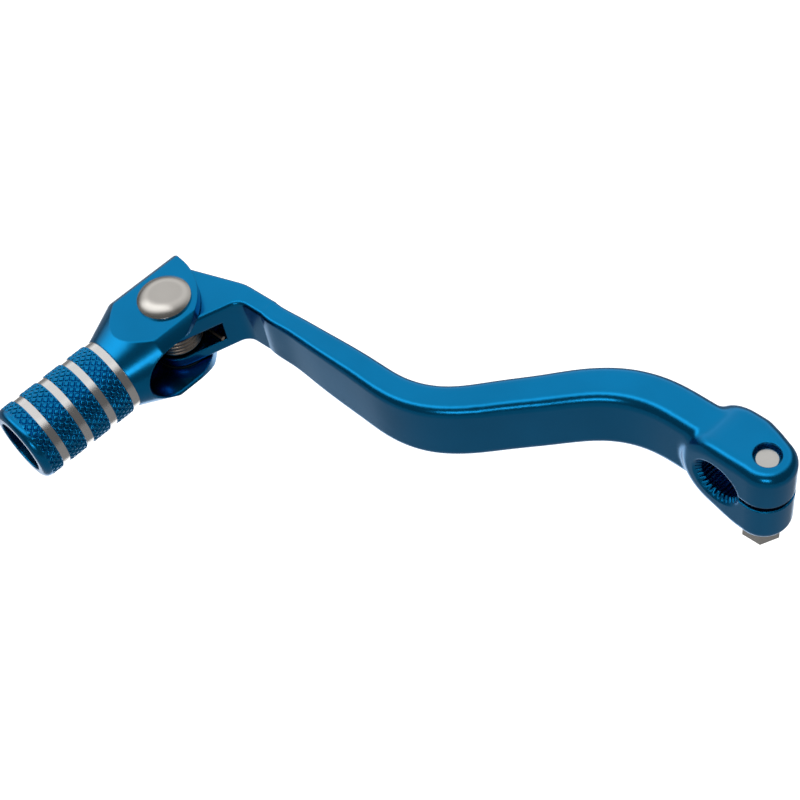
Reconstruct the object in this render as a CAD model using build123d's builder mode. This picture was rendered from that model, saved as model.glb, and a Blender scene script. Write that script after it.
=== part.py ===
"""Motorcycle gear shift lever with a splined clamp, a cranked arm and a folding toe peg.

Frame, in millimetres: the origin is on the splined bore's axis, level with the pinch bolt.
+X runs forward from the shift shaft to the toe peg, +Y outboard along the peg, +Z up.
"""
from build123d import *
from math import acos, asin, atan2, cos, degrees, radians, sin, sqrt
import os

os.makedirs("parts", exist_ok=True)

# Splined clamp: DIN 5481 serration, 10 x 12
TOOTH_COUNT = 30
TIP_RADIUS = 5.05
ROOT_RADIUS = 6.0
HUB_RADIUS = 11.1
HUB_OUTER_Y = 6.6
HUB_INNER_Y = -8.2
MOUTH_CHAMFER = 0.45
SPACE_TOP_WIDTH = 0.66
SPACE_ROOT_WIDTH = 0.22

# Clamp ears and the M6 pinch bolt
BOLT_X = -8.05
EAR_RADIUS = 6.45
EAR_TOP_Z = 12.0
EAR_BOTTOM_Z = -12.6
EAR_FLAT_END_X = -5.0
EAR_TAPER_START_X = -2.5
HUB_BLEND_RADIUS = 8.0
HUB_EDGE_RADIUS = 3.0
JUNCTION_RADIUS = 3.0
SLOT_GAP = 1.75
SLOT_MID_Z = 0.3
BOLT_RADIUS = 3.0
BOLT_CLEARANCE_RADIUS = 3.2
BOLT_THREAD_RADIUS = 2.95
BOLT_RECESS_RADIUS = 3.1
BOLT_RECESS_DEPTH = 2.0
BOLT_HEAD_FLATS = 8.0
BOLT_HEAD_HEIGHT = 4.9
BOLT_HEAD_TURN = 7
BOLT_HEAD_CHAMFER = 0.3
BOLT_END_Z = 10.6
BOLT_END_CHAMFER = 0.5

# Arm: corners and bend radii of its centreline in plan, then its sections as distance along
# the centreline, width, height and edge radius
ARM_CORNERS = [(-2.0, -1.5), (27.0, 2.1), (57.0, 38.8), (104.0, 43.5)]
ARM_BEND_RADII = [28, 25]
ARM_SECTIONS = [
    (0, 10.3, 18.8, 3.2),
    (8, 10.3, 18.8, 3.2),
    (15, 10.3, 18.8, 3.2),
    (22, 10.3, 18.8, 3.2),
    (30, 10.1, 18.7, 3.1),
    (38, 9.7, 18.6, 3.0),
    (48, 9.2, 18.5, 2.9),
    (58, 8.8, 18.5, 2.8),
    (66, 8.4, 18.5, 2.7),
    (74, 8.0, 18.5, 2.5),
    (82, 7.6, 18.4, 2.3),
    (90, 7.2, 18.3, 2.1),
    (98, 6.7, 17.7, 1.8),
    (106, 6.1, 16.5, 1.6),
    (114, 5.5, 15.2, 1.4),
    (121.4, 5.0, 14.86, 1.1),
]

# Pivot of the folding peg
PIVOT_X = 121.0
PIVOT_Y = 59.5
EYE_RADIUS = 6.8
TONGUE_HEIGHT = 14.8
TONGUE_EDGE_RADIUS = 1.1
TONGUE_OVERLAP = 0.5
TONGUE_HEADING = 8
HEEL_REACH = 6.8
NEAR_HEADING = 73
FAR_POINT = (126.3, 48.2)
FAR_HEADING = 24
NEAR_KNEE_RADIUS = 3.5
FAR_KNEE_RADIUS = 12.0
HEEL_RADIUS = 1.5
POCKET_TOP_Z = 2.4
POCKET_BOTTOM_Z = -4.0
POCKET_LENGTH = 10.0
POCKET_RADIUS = 6.65
POCKET_BACK = 2.8
POCKET_WALL_Y = 55.0
BUSH_OUTER_RADIUS = 4.8
BUSH_INNER_RADIUS = 4.05
PIN_RADIUS = 4.0

# Toe peg and its yoke, turned about a line parallel to Y through the pivot
YOKE_RADIUS = 13.5
YOKE_HALF_HEIGHT = 11.0
FLARE_START_Y = 68.6
SHOULDER_Y = 77.8
PEG_END_Y = 105.4
PEG_RADIUS = 9.4
RING_RADIUS = 9.2
RING_WIDTH = 1.9
BAND_COUNT = 4
NOSE_RADIUS = 1.6
FLARE_RADIUS = 2.0
PEG_BORE_RADIUS = 6.6
PEG_BORE_DEPTH = 20.0
SLOT_HALF_HEIGHT = 7.9
SLOT_END_Y = 74.6
SLOT_LIP_X = 111.0
SLOT_LIP_DEPTH = 4.0
SLOT_FAR_X = PIVOT_X + HEEL_REACH + 0.15

# Torsion spring: coil round the bush, one leg in the tongue's pocket, one in the yoke
WIRE_RADIUS = 0.55
COIL_RADIUS = 5.8
COIL_PITCH = 1.17
COIL_START_Z = -3.15
COIL_TURNS = 5
YOKE_LEG_Z = 1.8
ARM_LEG_END = (-9.1, -6.7)
YOKE_LEG_LENGTH = 17.6
LEG_HOLE_RADIUS = 0.8
LEG_HOLE_END_Y = 77.6

# Thrust washers, pivot pin and its retaining screw
THRUST_RADIUS = 6.5
THRUST_THICKNESS = 0.4
PIN_BOTTOM_Z = -9.0
DOME_RADIUS = 6.4
DOME_RIM = 0.5
DOME_HEIGHT = 2.5
SCREW_RADIUS = 2.5
SCREW_TOP_Z = -1.0
SCREW_TAP_TOP_Z = 0.5
SCREW_HEAD_RADIUS = 4.7
SCREW_SEAT_Z = -9.1
SCREW_SOCKET_FLATS = 3.0
SCREW_SOCKET_DEPTH = 1.9

# End of the yoke's plates, seen from above: a straight edge running into an arc
PLATE_END_Y = 49.4
PLATE_ARC_RADIUS = 17.0
PLATE_ARC_X = 127.0


def heading_vector(heading):
    """Unit vector in plan at a heading measured from +X towards +Y."""
    return Vector(cos(radians(heading)), sin(radians(heading)), 0)


def crossing(start, start_heading, other, other_heading):
    """Point in plan where two lines meet, each given by a point and a heading."""
    along = heading_vector(start_heading)
    across = heading_vector(other_heading + 90)
    reach = (Vector(*other) - Vector(*start)).dot(across) / along.dot(across)
    return Vector(*start) + along * reach


def arm_plane(distance):
    """Plane square to the arm's centreline, with its own Y axis pointing up."""
    here = centreline.position_at(distance, position_mode=PositionMode.LENGTH)
    ahead = centreline.tangent_at(distance, position_mode=PositionMode.LENGTH)
    return Plane(origin=here, x_dir=Vector(-ahead.Y, ahead.X, 0), z_dir=ahead)


def plan_edge(part, point):
    """The upright edge of a part that stands nearest to a point in plan."""
    return part.edges().filter_by(Axis.Z).sort_by_distance((point.X, point.Y, 0))[0]


# ---------------------------------------------------------------- tongue that carries the pivot
with BuildLine() as arm_line:
    FilletPolyline(*ARM_CORNERS, radius=ARM_BEND_RADII)
centreline = arm_line.wire()

end_distance, end_width = ARM_SECTIONS[-1][:2]
tongue_plane = arm_plane(end_distance - TONGUE_OVERLAP)
tongue_start = tongue_plane.origin
near_end = tongue_start + tongue_plane.x_dir * (end_width / 2)
far_end = tongue_start - tongue_plane.x_dir * (end_width / 2)
pivot = Vector(PIVOT_X, PIVOT_Y)
eye_start = pivot + heading_vector(NEAR_HEADING + 90) * EYE_RADIUS
eye_top = pivot + heading_vector((NEAR_HEADING + 90) / 2) * EYE_RADIUS
heel_side = Vector(PIVOT_X + HEEL_REACH, PIVOT_Y)
near_knee = crossing(near_end, TONGUE_HEADING, eye_start, NEAR_HEADING)
far_knee = crossing(far_end, TONGUE_HEADING, FAR_POINT, FAR_HEADING)
heel = crossing(FAR_POINT, FAR_HEADING, heel_side, 90)

with BuildPart() as tongue:
    with BuildSketch(Plane.XY.offset(-TONGUE_HEIGHT / 2)):
        with BuildLine():
            Polyline(near_end, near_knee, eye_start)
            ThreePointArc(eye_start, eye_top, heel_side)
            Polyline(heel_side, heel, far_knee, far_end, near_end)
        make_face()
    extrude(amount=TONGUE_HEIGHT)
    fillet(plan_edge(tongue, near_knee), NEAR_KNEE_RADIUS)
    fillet(plan_edge(tongue, far_knee), FAR_KNEE_RADIUS)
    fillet(plan_edge(tongue, heel), HEEL_RADIUS)
    joint_face = tongue.faces().sort_by_distance(tongue_start)[0]
    fillet(tongue.faces().filter_by(Axis.Z).edges() - joint_face.edges(), TONGUE_EDGE_RADIUS)

# ---------------------------------------------------------------- clamp hub with its two ears
with BuildPart() as hub:
    # side view: the bore's barrel and the ears' tip inside one tight outline
    with BuildSketch(Plane.XZ.offset(-HUB_OUTER_Y)) as hub_side:
        Circle(HUB_RADIUS)
        with Locations((EAR_FLAT_END_X, EAR_BOTTOM_Z)):
            Rectangle(
                EAR_FLAT_END_X - BOLT_X + EAR_RADIUS,
                EAR_TOP_Z - EAR_BOTTOM_Z,
                align=(Align.MAX, Align.MIN),
            )
        make_hull()
        fillet(hub_side.vertices().group_by(Axis.X)[1], HUB_BLEND_RADIUS)
    extrude(amount=HUB_OUTER_Y - HUB_INNER_Y)
    # plan view: flat faces at the bore, tapering to a round end about the bolt
    with BuildSketch(Plane.XY.offset(EAR_BOTTOM_Z)) as hub_plan:
        with Locations((BOLT_X, 0)):
            Circle(EAR_RADIUS)
        with Locations((HUB_RADIUS, HUB_INNER_Y)):
            Rectangle(
                HUB_RADIUS - EAR_TAPER_START_X,
                HUB_OUTER_Y - HUB_INNER_Y,
                align=(Align.MAX, Align.MIN),
            )
        make_hull()
        fillet(hub_plan.vertices().group_by(Axis.X)[-2], HUB_BLEND_RADIUS)
    extrude(amount=EAR_TOP_Z - EAR_BOTTOM_Z, mode=Mode.INTERSECT)
    fillet(hub.edges(), HUB_EDGE_RADIUS)

# ---------------------------------------------------------------- lever arm
with BuildPart() as lever_arm:
    for distance, width, height, edge_radius in ARM_SECTIONS:
        with BuildSketch(arm_plane(distance)):
            RectangleRounded(width, height, edge_radius)
    loft()
    add(hub.part)
    add(tongue.part)
    # bore: tooth lands at the tip radius, one space per tooth down to the root radius
    with BuildSketch(Plane.XZ.offset(-HUB_OUTER_Y)):
        Circle(TIP_RADIUS)
        with PolarLocations(0, TOOTH_COUNT):
            Polygon(
                (TIP_RADIUS - 0.2, SPACE_TOP_WIDTH / 2),
                (ROOT_RADIUS, SPACE_ROOT_WIDTH / 2),
                (ROOT_RADIUS, -SPACE_ROOT_WIDTH / 2),
                (TIP_RADIUS - 0.2, -SPACE_TOP_WIDTH / 2),
                align=None,
            )
    extrude(amount=HUB_OUTER_Y - HUB_INNER_Y, mode=Mode.SUBTRACT)
    for face_y, inward in ((HUB_OUTER_Y, -1), (HUB_INNER_Y, 1)):
        with BuildSketch(Plane.YZ):
            Polygon(
                (face_y, 0),
                (face_y, ROOT_RADIUS + MOUTH_CHAMFER),
                (face_y + inward * (ROOT_RADIUS + MOUTH_CHAMFER), 0),
                align=None,
            )
        revolve(axis=Axis.Y, mode=Mode.SUBTRACT)
    # clamp slot, bolt hole and the recess round the bolt's point
    with Locations((BOLT_X, 0, SLOT_MID_Z)):
        Box(-2 * BOLT_X, 4 * EAR_RADIUS, SLOT_GAP, mode=Mode.SUBTRACT)
    with Locations((BOLT_X, 0, 0)):
        Cylinder(BOLT_RADIUS, 2 * EAR_TOP_Z + 2, mode=Mode.SUBTRACT)
    with Locations((BOLT_X, 0, EAR_BOTTOM_Z)):
        Cylinder(
            BOLT_CLEARANCE_RADIUS,
            -EAR_BOTTOM_Z,
            align=(Align.CENTER, Align.CENTER, Align.MIN),
            mode=Mode.SUBTRACT,
        )
    with Locations((BOLT_X, 0, EAR_TOP_Z)):
        Cylinder(
            BOLT_RECESS_RADIUS,
            BOLT_RECESS_DEPTH,
            align=(Align.CENTER, Align.CENTER, Align.MAX),
            mode=Mode.SUBTRACT,
        )
    # spring pocket: open on the outboard flank and round the eye, closed towards the arm
    pocket_height = POCKET_TOP_Z - POCKET_BOTTOM_Z
    with BuildSketch(Plane.XY.offset(POCKET_BOTTOM_Z)):
        with Locations((PIVOT_X, PIVOT_Y)):
            Circle(POCKET_RADIUS)
        with Locations(Location(pivot - heading_vector(NEAR_HEADING + 90) * POCKET_BACK, NEAR_HEADING)):
            Rectangle(
                POCKET_LENGTH,
                POCKET_BACK + 2 * EYE_RADIUS,
                align=(Align.MAX, Align.MIN),
            )
        with Locations((PIVOT_X, POCKET_WALL_Y)):
            Rectangle(4 * EYE_RADIUS, 4 * EYE_RADIUS, align=(Align.CENTER, Align.MIN))
    extrude(amount=pocket_height, mode=Mode.SUBTRACT)
    with Locations((PIVOT_X, PIVOT_Y, 0)):
        Cylinder(BUSH_OUTER_RADIUS, 2 * TONGUE_HEIGHT, mode=Mode.SUBTRACT)
    # the arm blends into the barrel all round
    fillet(lever_arm.edges().sort_by_distance((HUB_RADIUS, HUB_OUTER_Y, 0))[0], JUNCTION_RADIUS)

lever_arm.part.label = "lever_arm"
export_step(lever_arm.part, "parts/lever_arm.step")

# ---------------------------------------------------------------- pinch bolt
with BuildPart() as pinch_bolt:
    with BuildSketch(Plane.XY.offset(EAR_BOTTOM_Z - BOLT_HEAD_HEIGHT)):
        with Locations((BOLT_X, 0)):
            RegularPolygon(BOLT_HEAD_FLATS / 2, 6, major_radius=False, rotation=BOLT_HEAD_TURN)
    extrude(amount=BOLT_HEAD_HEIGHT)
    chamfer(pinch_bolt.faces().sort_by(Axis.Z)[0].edges(), BOLT_HEAD_CHAMFER, 2 * BOLT_HEAD_CHAMFER)
    with BuildSketch(Plane.XY.offset(EAR_BOTTOM_Z)):
        with Locations((BOLT_X, 0)):
            Circle(BOLT_THREAD_RADIUS)
    extrude(amount=BOLT_END_Z - EAR_BOTTOM_Z)
    chamfer(pinch_bolt.faces().sort_by(Axis.Z)[-1].edges(), BOLT_END_CHAMFER)

pinch_bolt.part.label = "pinch_bolt"
export_step(pinch_bolt.part, "parts/pinch_bolt.step")

# ---------------------------------------------------------------- toe peg with its yoke
peg_axis = Axis((PIVOT_X, 0, 0), (0, 1, 0))
with BuildPart() as toe_peg:
    with BuildSketch(Plane.XY):
        with BuildLine():
            Polyline(
                (PIVOT_X, PLATE_END_Y),
                (PIVOT_X + YOKE_RADIUS, PLATE_END_Y),
                (PIVOT_X + YOKE_RADIUS, FLARE_START_Y),
                (PIVOT_X + PEG_RADIUS, SHOULDER_Y),
                (PIVOT_X + PEG_RADIUS, PEG_END_Y),
                (PIVOT_X, PEG_END_Y),
                close=True,
            )
        make_face()
    revolve(axis=peg_axis)
    fillet(toe_peg.edges().filter_by(GeomType.CIRCLE).group_by(Axis.Y)[1], FLARE_RADIUS)
    fillet(toe_peg.edges().filter_by(GeomType.CIRCLE).group_by(Axis.Y)[-1], NOSE_RADIUS)
    # bare rings, turned a little below the knurled bands
    band_pitch = (PEG_END_Y - SHOULDER_Y) / BAND_COUNT
    for band in range(BAND_COUNT):
        with BuildSketch(Plane.XY):
            with Locations((PIVOT_X + RING_RADIUS, SHOULDER_Y + band * band_pitch)):
                Rectangle(PEG_RADIUS, RING_WIDTH, align=(Align.MIN, Align.MIN))
        revolve(axis=peg_axis, mode=Mode.SUBTRACT)
    with BuildSketch(Plane.XZ.offset(-PEG_END_Y)):
        with Locations((PIVOT_X, 0)):
            Circle(PEG_BORE_RADIUS)
    extrude(amount=PEG_BORE_DEPTH, mode=Mode.SUBTRACT)
    # flats above and below the yoke
    for side in (1, -1):
        with Locations((PIVOT_X, PLATE_END_Y, side * YOKE_HALF_HEIGHT)):
            Box(
                4 * YOKE_RADIUS,
                SHOULDER_Y - PLATE_END_Y,
                YOKE_RADIUS,
                align=(Align.CENTER, Align.MIN, Align.MIN if side > 0 else Align.MAX),
                mode=Mode.SUBTRACT,
            )
    # curved end of the plates on the side that the arm folds past
    with BuildSketch(Plane.XY.offset(-YOKE_RADIUS)):
        arc_centre = Vector(PLATE_ARC_X, PLATE_END_Y + PLATE_ARC_RADIUS)
        arc_middle = arc_centre + heading_vector(225) * PLATE_ARC_RADIUS
        arc_end = arc_centre + heading_vector(180) * PLATE_ARC_RADIUS
        with BuildLine():
            ThreePointArc((PLATE_ARC_X, PLATE_END_Y), arc_middle, arc_end)
            Polyline(
                arc_end,
                (PIVOT_X - 2 * YOKE_RADIUS, arc_end.Y),
                (PIVOT_X - 2 * YOKE_RADIUS, PLATE_END_Y - 1),
                (PLATE_ARC_X, PLATE_END_Y - 1),
                (PLATE_ARC_X, PLATE_END_Y),
            )
        make_face()
    extrude(amount=2 * YOKE_RADIUS, mode=Mode.SUBTRACT)
    # slot for the tongue, with a round end, closed on the far side by the wall it rests on,
    # then its near mouth opened out at 45 degrees
    for plane_x, depth, taper in ((SLOT_FAR_X, 4 * YOKE_RADIUS, 0), (SLOT_LIP_X, SLOT_LIP_DEPTH, -45)):
        with BuildSketch(Plane.YZ.offset(plane_x)):
            with Locations((SLOT_END_Y - SLOT_HALF_HEIGHT, 0)):
                Circle(SLOT_HALF_HEIGHT)
                Rectangle(
                    SLOT_END_Y - PLATE_END_Y,
                    2 * SLOT_HALF_HEIGHT,
                    align=(Align.MAX, Align.CENTER),
                )
        extrude(amount=-depth, taper=taper, mode=Mode.SUBTRACT)
    # pivot hole with its countersink, and the hole for the spring's leg
    with Locations((PIVOT_X, PIVOT_Y, PIN_BOTTOM_Z)):
        Cylinder(
            PIN_RADIUS,
            3 * YOKE_RADIUS,
            align=(Align.CENTER, Align.CENTER, Align.MIN),
            mode=Mode.SUBTRACT,
        )
    with BuildSketch(Plane.XZ.offset(-PIVOT_Y)):
        with Locations((PIVOT_X, 0)):
            Polygon(
                (0, PIN_BOTTOM_Z),
                (SCREW_RADIUS, PIN_BOTTOM_Z),
                (SCREW_RADIUS, SCREW_SEAT_Z),
                (SCREW_HEAD_RADIUS, -YOKE_HALF_HEIGHT),
                (0, -YOKE_HALF_HEIGHT),
                align=None,
            )
    revolve(axis=Axis((PIVOT_X, PIVOT_Y, 0), (0, 0, 1)), mode=Mode.SUBTRACT)
    with BuildSketch(Plane.XZ.offset(-LEG_HOLE_END_Y)):
        with Locations((PIVOT_X + COIL_RADIUS, YOKE_LEG_Z)):
            Circle(LEG_HOLE_RADIUS)
    extrude(amount=LEG_HOLE_END_Y - SLOT_END_Y + SLOT_HALF_HEIGHT, mode=Mode.SUBTRACT)

toe_peg.part.label = "toe_peg"
export_step(toe_peg.part, "parts/toe_peg.step")

# ---------------------------------------------------------------- pivot pin, screw, bush and washers
with BuildPart() as pivot_pin:
    with BuildSketch(Plane.XZ.offset(-PIVOT_Y)):
        with BuildLine():
            rim_z = YOKE_HALF_HEIGHT + DOME_RIM
            crown_z = rim_z + DOME_HEIGHT
            crown_radius = (DOME_RADIUS**2 + DOME_HEIGHT**2) / (2 * DOME_HEIGHT)
            half_angle = asin(DOME_RADIUS / crown_radius) / 2
            crown_middle = (
                PIVOT_X + crown_radius * sin(half_angle),
                crown_z - crown_radius * (1 - cos(half_angle)),
            )
            ThreePointArc((PIVOT_X, crown_z), crown_middle, (PIVOT_X + DOME_RADIUS, rim_z))
            Polyline(
                (PIVOT_X + DOME_RADIUS, rim_z),
                (PIVOT_X + DOME_RADIUS, YOKE_HALF_HEIGHT),
                (PIVOT_X + PIN_RADIUS, YOKE_HALF_HEIGHT),
                (PIVOT_X + PIN_RADIUS, PIN_BOTTOM_Z),
                (PIVOT_X + SCREW_RADIUS, PIN_BOTTOM_Z),
                (PIVOT_X + SCREW_RADIUS, SCREW_TAP_TOP_Z),
                (PIVOT_X, SCREW_TAP_TOP_Z),
                (PIVOT_X, crown_z),
            )
        make_face()
    revolve(axis=Axis((PIVOT_X, PIVOT_Y, 0), (0, 0, 1)))

pivot_pin.part.label = "pivot_pin"
export_step(pivot_pin.part, "parts/pivot_pin.step")

with BuildPart() as pivot_screw:
    with BuildSketch(Plane.XZ.offset(-PIVOT_Y)):
        with Locations((PIVOT_X, 0)):
            Polygon(
                (0, SCREW_TOP_Z),
                (SCREW_RADIUS, SCREW_TOP_Z),
                (SCREW_RADIUS, SCREW_SEAT_Z),
                (SCREW_HEAD_RADIUS, -YOKE_HALF_HEIGHT),
                (0, -YOKE_HALF_HEIGHT),
                align=None,
            )
    revolve(axis=Axis((PIVOT_X, PIVOT_Y, 0), (0, 0, 1)))
    with BuildSketch(Plane.XY.offset(-YOKE_HALF_HEIGHT)):
        with Locations((PIVOT_X, PIVOT_Y)):
            RegularPolygon(SCREW_SOCKET_FLATS / 2, 6, major_radius=False)
    extrude(amount=SCREW_SOCKET_DEPTH, mode=Mode.SUBTRACT)

pivot_screw.part.label = "pivot_screw"
export_step(pivot_screw.part, "parts/pivot_screw.step")

with BuildPart() as pivot_bush:
    with BuildSketch(Plane.XY.offset(-TONGUE_HEIGHT / 2)):
        with Locations((PIVOT_X, PIVOT_Y)):
            Circle(BUSH_OUTER_RADIUS)
            Circle(BUSH_INNER_RADIUS, mode=Mode.SUBTRACT)
    extrude(amount=TONGUE_HEIGHT)

pivot_bush.part.label = "pivot_bush"
export_step(pivot_bush.part, "parts/pivot_bush.step")

for name, bottom in (
    ("thrust_washer_upper", TONGUE_HEIGHT / 2),
    ("thrust_washer_lower", -TONGUE_HEIGHT / 2 - THRUST_THICKNESS),
):
    with BuildPart() as thrust_washer:
        with BuildSketch(Plane.XY.offset(bottom)):
            with Locations((PIVOT_X, PIVOT_Y)):
                Circle(THRUST_RADIUS)
                Circle(BUSH_INNER_RADIUS, mode=Mode.SUBTRACT)
        extrude(amount=THRUST_THICKNESS)
    thrust_washer.part.label = name
    export_step(thrust_washer.part, f"parts/{name}.step")

# ---------------------------------------------------------------- torsion spring
arm_leg_end = Vector(*ARM_LEG_END)
arm_leg_length = sqrt(arm_leg_end.length**2 - COIL_RADIUS**2)
arm_leg_heading = 360 + degrees(atan2(arm_leg_end.Y, arm_leg_end.X))
coil_start_angle = arm_leg_heading + degrees(acos(COIL_RADIUS / arm_leg_end.length))
coil_sweep = 360 * COIL_TURNS - coil_start_angle
coil_start = Vector(PIVOT_X, PIVOT_Y, COIL_START_Z)
coil_height = COIL_PITCH * coil_sweep / 360
coil_base = Plane(origin=coil_start, x_dir=heading_vector(coil_start_angle), z_dir=(0, 0, 1))
arm_leg_plane = Plane(
    origin=coil_start + heading_vector(coil_start_angle) * COIL_RADIUS,
    z_dir=heading_vector(coil_start_angle - 90),
)
yoke_leg_plane = Plane(origin=(PIVOT_X + COIL_RADIUS, PIVOT_Y, COIL_START_Z + coil_height), z_dir=(0, 1, 0))
with BuildPart() as torsion_spring:
    with BuildLine(coil_base) as coil_line:
        Helix(COIL_PITCH, coil_height, COIL_RADIUS)
    with BuildSketch(coil_line.line ^ 0):
        Circle(WIRE_RADIUS)
    sweep(is_frenet=True)
    for leg_plane, leg_length in ((arm_leg_plane, arm_leg_length), (yoke_leg_plane, YOKE_LEG_LENGTH)):
        with BuildSketch(leg_plane):
            Circle(WIRE_RADIUS)
        extrude(amount=leg_length)

torsion_spring.part.label = "torsion_spring"
export_step(torsion_spring.part, "parts/torsion_spring.step")
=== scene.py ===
"""Looks of a motorcycle gear shift lever: anodised arm and folding toe peg, steel pivot and bolt.

Everything is in metres in the part's own frame: +X from the shift shaft to the toe peg,
+Y outboard along the peg, +Z up along the folding pivot.
"""

import math

import bmesh
import bpy
import numpy as np
from mathutils import Matrix, Vector


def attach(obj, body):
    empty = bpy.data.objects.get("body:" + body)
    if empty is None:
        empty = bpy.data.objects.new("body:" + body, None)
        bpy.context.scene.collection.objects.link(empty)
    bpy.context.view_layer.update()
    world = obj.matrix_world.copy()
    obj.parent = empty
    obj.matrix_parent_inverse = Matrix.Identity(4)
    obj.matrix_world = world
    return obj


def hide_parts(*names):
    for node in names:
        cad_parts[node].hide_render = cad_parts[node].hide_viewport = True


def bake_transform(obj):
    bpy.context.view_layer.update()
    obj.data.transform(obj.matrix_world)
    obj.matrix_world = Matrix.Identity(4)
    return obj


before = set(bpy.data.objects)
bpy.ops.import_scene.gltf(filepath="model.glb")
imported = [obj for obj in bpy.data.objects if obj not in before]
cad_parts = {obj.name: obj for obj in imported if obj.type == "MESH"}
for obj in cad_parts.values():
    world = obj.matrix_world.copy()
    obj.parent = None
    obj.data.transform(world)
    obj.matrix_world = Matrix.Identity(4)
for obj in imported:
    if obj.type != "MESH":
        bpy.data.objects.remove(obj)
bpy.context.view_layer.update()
scene = bpy.context.scene
scene.view_settings.view_transform = "Standard"
MM = 0.001

# Toe peg: turned about a line parallel to Y through the pivot
PEG_AXIS_X = 121.0 * MM
BAND_RADIUS = 9.4 * MM
RING_RADIUS = 9.2 * MM
UNDER_RING_RADIUS = 9.1 * MM
BAND_CORE_RADIUS = 8.7 * MM
BAND_STARTS_MM = (79.7, 86.6, 93.5, 100.4)
BAND_ENDS_MM = (84.7, 91.6, 98.5, 103.8)
KNURL_STARTS = 30
KNURL_DEPTH = 0.46 * MM
KNURL_PROUD = 0.10 * MM
GROOVE_HALF_WIDTH = 0.40 * MM
KNURL_END_FADE = 0.35 * MM
KNURL_OVERLAP = 0.03 * MM
KNURL_AROUND = 540
KNURL_ALONG = 50
SHOULDER_WIDTH = 3 * MM
SLACK = 0.05 * MM
SQUARE_TO_AXIS = 0.2


# ------------------------------------------------------------------ node helpers
def new_material(name):
    """An empty node material with its Principled shader."""
    material = bpy.data.materials.new(name)
    material.use_nodes = True
    tree = material.node_tree
    shader = next(n for n in tree.nodes if n.type == "BSDF_PRINCIPLED")
    return material, tree, shader


def add(tree, kind, **values):
    """A node with some of its sockets or settings filled in."""
    node = tree.nodes.new(kind)
    for key, value in values.items():
        if key in node.inputs:
            node.inputs[key].default_value = value
        else:
            setattr(node, key, value)
    return node


def ramp(tree, source, stops):
    """A colour ramp fed by a socket; stops are (position, grey or colour)."""
    node = tree.nodes.new("ShaderNodeValToRGB")
    while len(node.color_ramp.elements) > 1:
        node.color_ramp.elements.remove(node.color_ramp.elements[-1])
    for index, (position, colour) in enumerate(stops):
        if isinstance(colour, (int, float)):
            colour = (colour, colour, colour)
        element = node.color_ramp.elements[0] if index == 0 else node.color_ramp.elements.new(position)
        element.position = position
        element.color = (*colour, 1.0)
    tree.links.new(source, node.inputs["Fac"])
    return node.outputs["Color"]


def mapped(tree, scale):
    """Object coordinates scaled per axis."""
    coords = tree.nodes.new("ShaderNodeTexCoord")
    mapping = tree.nodes.new("ShaderNodeMapping")
    mapping.inputs["Scale"].default_value = scale
    tree.links.new(coords.outputs["Object"], mapping.inputs["Vector"])
    return mapping.outputs["Vector"]


def edge_rounding(tree, radius):
    """Normal of a surface whose sharp edges are broken by a small radius."""
    return add(tree, "ShaderNodeBevel", samples=6, Radius=radius).outputs["Normal"]


def metal(name, colour, roughness, roughness_spread, grain_scale, grain, edge_radius,
          stretch=(1, 1, 1), colour_spread=0.06, coat=0.0):
    """Metal with a fine grain, slight tone drift and softly broken edges."""
    material, tree, shader = new_material(name)
    fine = add(tree, "ShaderNodeTexNoise", Scale=grain_scale, Detail=4.0, Roughness=0.6)
    tree.links.new(mapped(tree, stretch), fine.inputs["Vector"])
    broad = add(tree, "ShaderNodeTexNoise", Scale=60.0, Detail=3.0, Roughness=0.5)
    tree.links.new(mapped(tree, (1, 1, 1)), broad.inputs["Vector"])
    low = tuple(c * (1 - colour_spread) for c in colour)
    high = tuple(c * (1 + colour_spread) for c in colour)
    tree.links.new(ramp(tree, broad.outputs["Fac"], ((0.3, low), (0.7, high))), shader.inputs["Base Color"])
    rough = ramp(tree, fine.outputs["Fac"], ((0.25, roughness - roughness_spread),
                                            (0.75, roughness + roughness_spread)))
    tree.links.new(rough, shader.inputs["Roughness"])
    shader.inputs["Metallic"].default_value = 1.0
    shader.inputs["Coat Weight"].default_value = coat
    shader.inputs["Coat Roughness"].default_value = 0.15
    bump = add(tree, "ShaderNodeBump", Strength=grain, Distance=0.00005)
    tree.links.new(fine.outputs["Fac"], bump.inputs["Height"])
    tree.links.new(edge_rounding(tree, edge_radius), bump.inputs["Normal"])
    tree.links.new(bump.outputs["Normal"], shader.inputs["Normal"])
    return material


BLUE = (0.003, 0.200, 0.455)
anodised = metal("anodised_blue", BLUE, 0.22, 0.03, 5200.0, 0.06, 0.60 * MM, coat=0.05)
anodised_knurl = metal("anodised_blue_knurl", BLUE, 0.18, 0.03, 5200.0, 0.06, 0.05 * MM, coat=0.05)
bare_ring = metal("bare_turned_aluminium", (0.74, 0.73, 0.72), 0.18, 0.06, 900.0, 0.20, 0.10 * MM,
                  stretch=(1, 30, 1), colour_spread=0.03)
nickel = metal("bright_nickel", (0.50, 0.48, 0.45), 0.19, 0.03, 2600.0, 0.08, 0.20 * MM, colour_spread=0.04)
zinc = metal("zinc_plated_steel", (0.55, 0.54, 0.52), 0.24, 0.03, 900.0, 0.08, 0.30 * MM, colour_spread=0.08)
spring_steel = metal("drawn_spring_wire", (0.36, 0.30, 0.25), 0.30, 0.08, 2500.0, 0.30, 0.05 * MM,
                     stretch=(1, 1, 4), colour_spread=0.15)
bronze = metal("sintered_bronze", (0.50, 0.33, 0.15), 0.42, 0.08, 4200.0, 0.50, 0.10 * MM, colour_spread=0.10)

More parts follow.
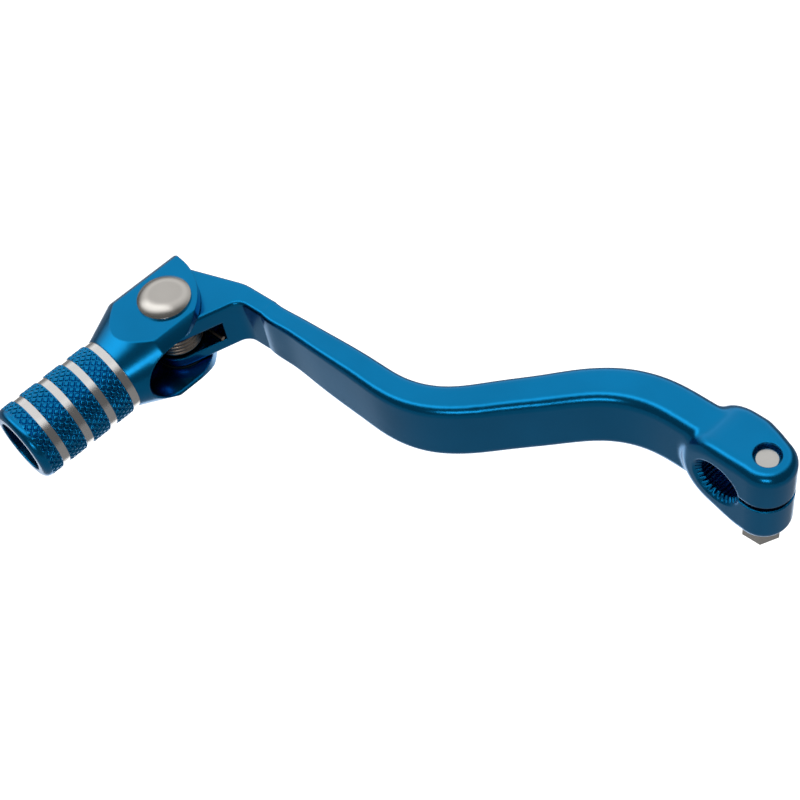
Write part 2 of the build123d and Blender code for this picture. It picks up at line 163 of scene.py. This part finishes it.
washer_black, washer_tree, washer_shader = new_material("acetal_black")
washer_noise = add(washer_tree, "ShaderNodeTexNoise", Scale=2500.0, Detail=3.0)
washer_tree.links.new(mapped(washer_tree, (1, 1, 1)), washer_noise.inputs["Vector"])
washer_tree.links.new(ramp(washer_tree, washer_noise.outputs["Fac"], ((0.3, 0.012), (0.7, 0.022))),
                      washer_shader.inputs["Base Color"])
washer_tree.links.new(ramp(washer_tree, washer_noise.outputs["Fac"], ((0.3, 0.42), (0.7, 0.55))),
                      washer_shader.inputs["Roughness"])


def paint(node, material):
    """Gives a CAD node its finish."""
    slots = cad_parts[node].data.materials
    slots.clear()
    slots.append(material)


paint("lever_arm", anodised)
paint("pinch_bolt", zinc)
paint("pivot_pin", nickel)
paint("pivot_screw", nickel)
paint("pivot_bush", bronze)
paint("thrust_washer_upper", washer_black)
paint("thrust_washer_lower", washer_black)

# ------------------------------------------------------------------ torsion spring
def wound_spring():
    """A copy of the torsion spring in drawn spring wire."""
    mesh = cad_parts["torsion_spring"].data.copy()
    mesh.materials.clear()
    mesh.materials.append(spring_steel)
    spring = bpy.data.objects.new("spring_wire", mesh)
    scene.collection.objects.link(spring)
    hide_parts("torsion_spring")
    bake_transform(spring)


wound_spring()


# ------------------------------------------------------------------ toe peg
def smooth(value):
    """0 to 1 with a soft start and end."""
    value = np.clip(value, 0.0, 1.0)
    return value * value * (3 - 2 * value)


def peg_body():
    """The toe peg without its plain bands, which the knurled sleeves stand in for."""
    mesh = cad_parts["toe_peg"].data.copy()
    mesh.name = "peg_body"
    body = bpy.data.objects.new("peg_body", mesh)
    scene.collection.objects.link(body)
    mesh.materials.clear()
    mesh.materials.append(anodised)
    mesh.materials.append(bare_ring)
    edit = bmesh.new()
    edit.from_mesh(mesh)
    first_band = BAND_STARTS_MM[0] * MM
    last_band = BAND_ENDS_MM[-1] * MM
    plain = []
    for face in edit.faces:
        centre = face.calc_center_median()
        reach = [math.hypot(v.co.x - PEG_AXIS_X, v.co.z) for v in face.verts]
        on_peg = first_band - SHOULDER_WIDTH < centre.y < last_band
        proud = max(reach) > RING_RADIUS + SLACK and min(reach) > RING_RADIUS - SLACK
        on_ring = abs(max(reach) - RING_RADIUS) < SLACK and abs(face.normal.y) < SQUARE_TO_AXIS
        if on_peg and proud:
            if all(v.co.y > first_band - SLACK for v in face.verts):
                plain.append(face)
        elif on_peg and on_ring:
            face.material_index = 1
    bmesh.ops.delete(edit, geom=plain, context="FACES")
    edit.to_mesh(mesh)
    edit.free()
    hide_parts("toe_peg")
    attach(body, "toe")


def knurled_band(name, start, end, last):
    """A closed sleeve with a diamond knurl; the last one runs smoothly into the peg's nose."""
    y = np.linspace(start, end, KNURL_ALONG + 1)
    angle = np.linspace(0, 2 * math.pi, KNURL_AROUND, endpoint=False)
    turn, along = np.meshgrid(angle, y)
    pitch = 2 * math.pi * BAND_RADIUS * math.cos(math.pi / 4) / KNURL_STARTS
    depth = np.zeros_like(turn)
    for lean in (1, -1):
        phase = (turn + lean * along / BAND_RADIUS) * KNURL_STARTS / (2 * math.pi)
        away = np.abs(phase - np.round(phase)) * pitch
        depth = np.maximum(depth, 1 - smooth(away / GROOVE_HALF_WIDTH))
    knurled = BAND_RADIUS + KNURL_PROUD - KNURL_DEPTH * depth
    rise = smooth((along - start) / KNURL_END_FADE)
    radius = RING_RADIUS * (1 - rise) + knurled * rise
    fall = smooth((end - along) / (2 * KNURL_END_FADE if last else KNURL_END_FADE))
    radius = (BAND_RADIUS if last else RING_RADIUS) * (1 - fall) + radius * fall
    first_rim = np.full((1, KNURL_AROUND), UNDER_RING_RADIUS)
    core = np.full((1, KNURL_AROUND), BAND_CORE_RADIUS)
    last_rim = [] if last else [first_rim]
    radius = np.concatenate([core, first_rim, radius, *last_rim, core])
    lengths = [start - KNURL_OVERLAP] * 2 + list(y) + ([] if last else [end + KNURL_OVERLAP]) + [end]
    along = np.repeat(np.array(lengths)[:, None], KNURL_AROUND, axis=1)
    turn = np.repeat(angle[None, :], len(lengths), axis=0)
    points = np.stack((PEG_AXIS_X + radius * np.cos(turn), along, radius * np.sin(turn)), -1).reshape(-1, 3)
    faces = []
    for row in range(len(lengths)):
        here = row * KNURL_AROUND
        above = (row + 1) % len(lengths) * KNURL_AROUND
        for column in range(KNURL_AROUND):
            after = (column + 1) % KNURL_AROUND
            faces.append((here + column, above + column, above + after, here + after))
    mesh = bpy.data.meshes.new(name)
    mesh.from_pydata(points.tolist(), [], faces)
    mesh.materials.append(anodised_knurl)
    for face in mesh.polygons:
        face.use_smooth = True
    band = bpy.data.objects.new(name, mesh)
    scene.collection.objects.link(band)
    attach(band, "toe")


peg_body()
for number, (start, end) in enumerate(zip(BAND_STARTS_MM, BAND_ENDS_MM), 1):
    knurled_band(f"knurled_band_{number}", start * MM, end * MM, number == len(BAND_STARTS_MM))

# ------------------------------------------------------------------ stage, light and camera
FLOOR_HALF = 9.0
FLOOR_Z = -1.5
# The part of the floor behind the object in the camera's view glows, a painted pool of light, so that it
# reads as white
GLOW_POOL_CENTRE = (1.08, -0.60, FLOOR_Z)
GLOW_POOL_RADIUS = 0.99
GLOW_POOL_FADE = 0.25
GLOW_POOL_STRENGTH = 1.15
# Sky: brightest where the level top faces mirror it to the camera, with a band of glow round that
MIRROR_DIRECTION = Vector((0.487, -0.315, 0.8145)).normalized()
NEAR_DIRECTION = Vector((-0.3, 0.95, 0.0)).normalized()
SKY_STRENGTH = 2.6


def pale_floor():
    """A pale matt floor far below, with a painted glowing pool of light behind the object."""
    mesh = bpy.data.meshes.new("floor")
    corners = [(x * FLOOR_HALF, y * FLOOR_HALF, FLOOR_Z) for x, y in ((-1, -1), (1, -1), (1, 1), (-1, 1))]
    mesh.from_pydata(corners, [], [(0, 1, 2, 3)])
    floor = bpy.data.objects.new("floor", mesh)
    scene.collection.objects.link(floor)
    material, tree, shader = new_material("pale_floor")
    noise = add(tree, "ShaderNodeTexNoise", Scale=3.0, Detail=2.0)
    tree.links.new(mapped(tree, (1, 1, 1)), noise.inputs["Vector"])
    tree.links.new(ramp(tree, noise.outputs["Fac"], ((0.3, 0.28), (0.7, 0.30))), shader.inputs["Base Color"])
    shader.inputs["Roughness"].default_value = 0.9
    shader.inputs["Specular IOR Level"].default_value = 0.0
    # Painted glow: the floor emits light in a pool behind the object, though it is no lamp
    from_glow_pool = add(tree, "ShaderNodeVectorMath", operation="DISTANCE")
    from_glow_pool.inputs[1].default_value = GLOW_POOL_CENTRE
    tree.links.new(mapped(tree, (1, 1, 1)), from_glow_pool.inputs[0])
    glow_pool_mask = add(tree, "ShaderNodeMapRange", interpolation_type="SMOOTHSTEP")
    glow_pool_mask.inputs["From Min"].default_value = GLOW_POOL_RADIUS
    glow_pool_mask.inputs["From Max"].default_value = GLOW_POOL_RADIUS + GLOW_POOL_FADE
    glow_pool_mask.inputs["To Min"].default_value = 1.0
    glow_pool_mask.inputs["To Max"].default_value = 0.0
    tree.links.new(from_glow_pool.outputs["Value"], glow_pool_mask.inputs["Value"])
    glow = ramp(tree, glow_pool_mask.outputs["Result"], ((0.0, 0.04), (1.0, 1.0)))
    tree.links.new(glow, shader.inputs["Emission Color"])
    shader.inputs["Emission Strength"].default_value = GLOW_POOL_STRENGTH
    mesh.materials.append(material)


def facing(tree, rays, toward):
    """How far the sky's direction faces a fixed one: 1 straight on, 0 square to it or beyond."""
    node = add(tree, "ShaderNodeVectorMath", operation="DOT_PRODUCT")
    node.inputs[1].default_value = toward
    tree.links.new(rays, node.inputs[0])
    return node.outputs["Value"]


def studio_sky():
    """A soft overhead light with a band of glow round it, stronger on the near side."""
    world = bpy.data.worlds.new("studio")
    scene.world = world
    world.use_nodes = True
    tree = world.node_tree
    background = next(n for n in tree.nodes if n.type == "BACKGROUND")
    rays = tree.nodes.new("ShaderNodeTexCoord").outputs["Generated"]
    toward = facing(tree, rays, MIRROR_DIRECTION)
    overhead = ramp(tree, toward, ((0.0, 0.05), (0.42, 0.05), (0.72, 0.33), (1.0, 0.35)))
    band = ramp(tree, toward, ((0.40, 0.0), (0.54, 0.50), (0.68, 0.50), (0.80, 0.0)))
    near_side = ramp(tree, facing(tree, rays, NEAR_DIRECTION), ((0.0, 0.22), (0.25, 1.0)))
    total = add(tree, "ShaderNodeMath", operation="MULTIPLY_ADD")
    for socket, source in enumerate((band, near_side, overhead)):
        tree.links.new(source, total.inputs[socket])
    tree.links.new(total.outputs["Value"], background.inputs["Color"])
    background.inputs["Strength"].default_value = SKY_STRENGTH


def softbox(name, place, aim, size, power):
    """A rectangular area light that looks at a point."""
    light = bpy.data.lights.new(name, "AREA")
    light.shape = "RECTANGLE"
    light.size, light.size_y = size
    light.energy = power
    lamp = bpy.data.objects.new(name, light)
    scene.collection.objects.link(lamp)
    lamp.location = place
    lamp.rotation_mode = "QUATERNION"
    lamp.rotation_quaternion = (Vector(aim) - Vector(place)).to_track_quat("-Z", "Y")


# The photograph's view: a pinhole camera given by its own axes
CAMERA_PLACE = (-0.126405, 0.161793, 0.321793)
CAMERA_RIGHT = Vector((-0.67459, -0.72807, -0.12182))
CAMERA_DOWN = Vector((-0.55503, 0.60905, -0.56657))
CAMERA_FORWARD = Vector((0.48670, -0.31459, -0.81496))
CAMERA_LENS = 78.915


def photo_camera():
    """The camera that took the photograph."""
    data = bpy.data.cameras.new("camera")
    data.sensor_width = 36.0
    data.lens = CAMERA_LENS
    data.clip_start = 0.01
    data.clip_end = 50.0
    camera = bpy.data.objects.new("camera", data)
    scene.collection.objects.link(camera)
    axes = Matrix((CAMERA_RIGHT, -CAMERA_DOWN, -CAMERA_FORWARD)).transposed()
    camera.rotation_mode = "QUATERNION"
    camera.rotation_quaternion = axes.to_quaternion()
    camera.location = CAMERA_PLACE
    scene.camera = camera


pale_floor()
studio_sky()
softbox("side_softbox", (-0.7, 0.9, 0.5), (0.06, 0.03, 0.0), (0.5, 0.25), 1.2)
photo_camera()
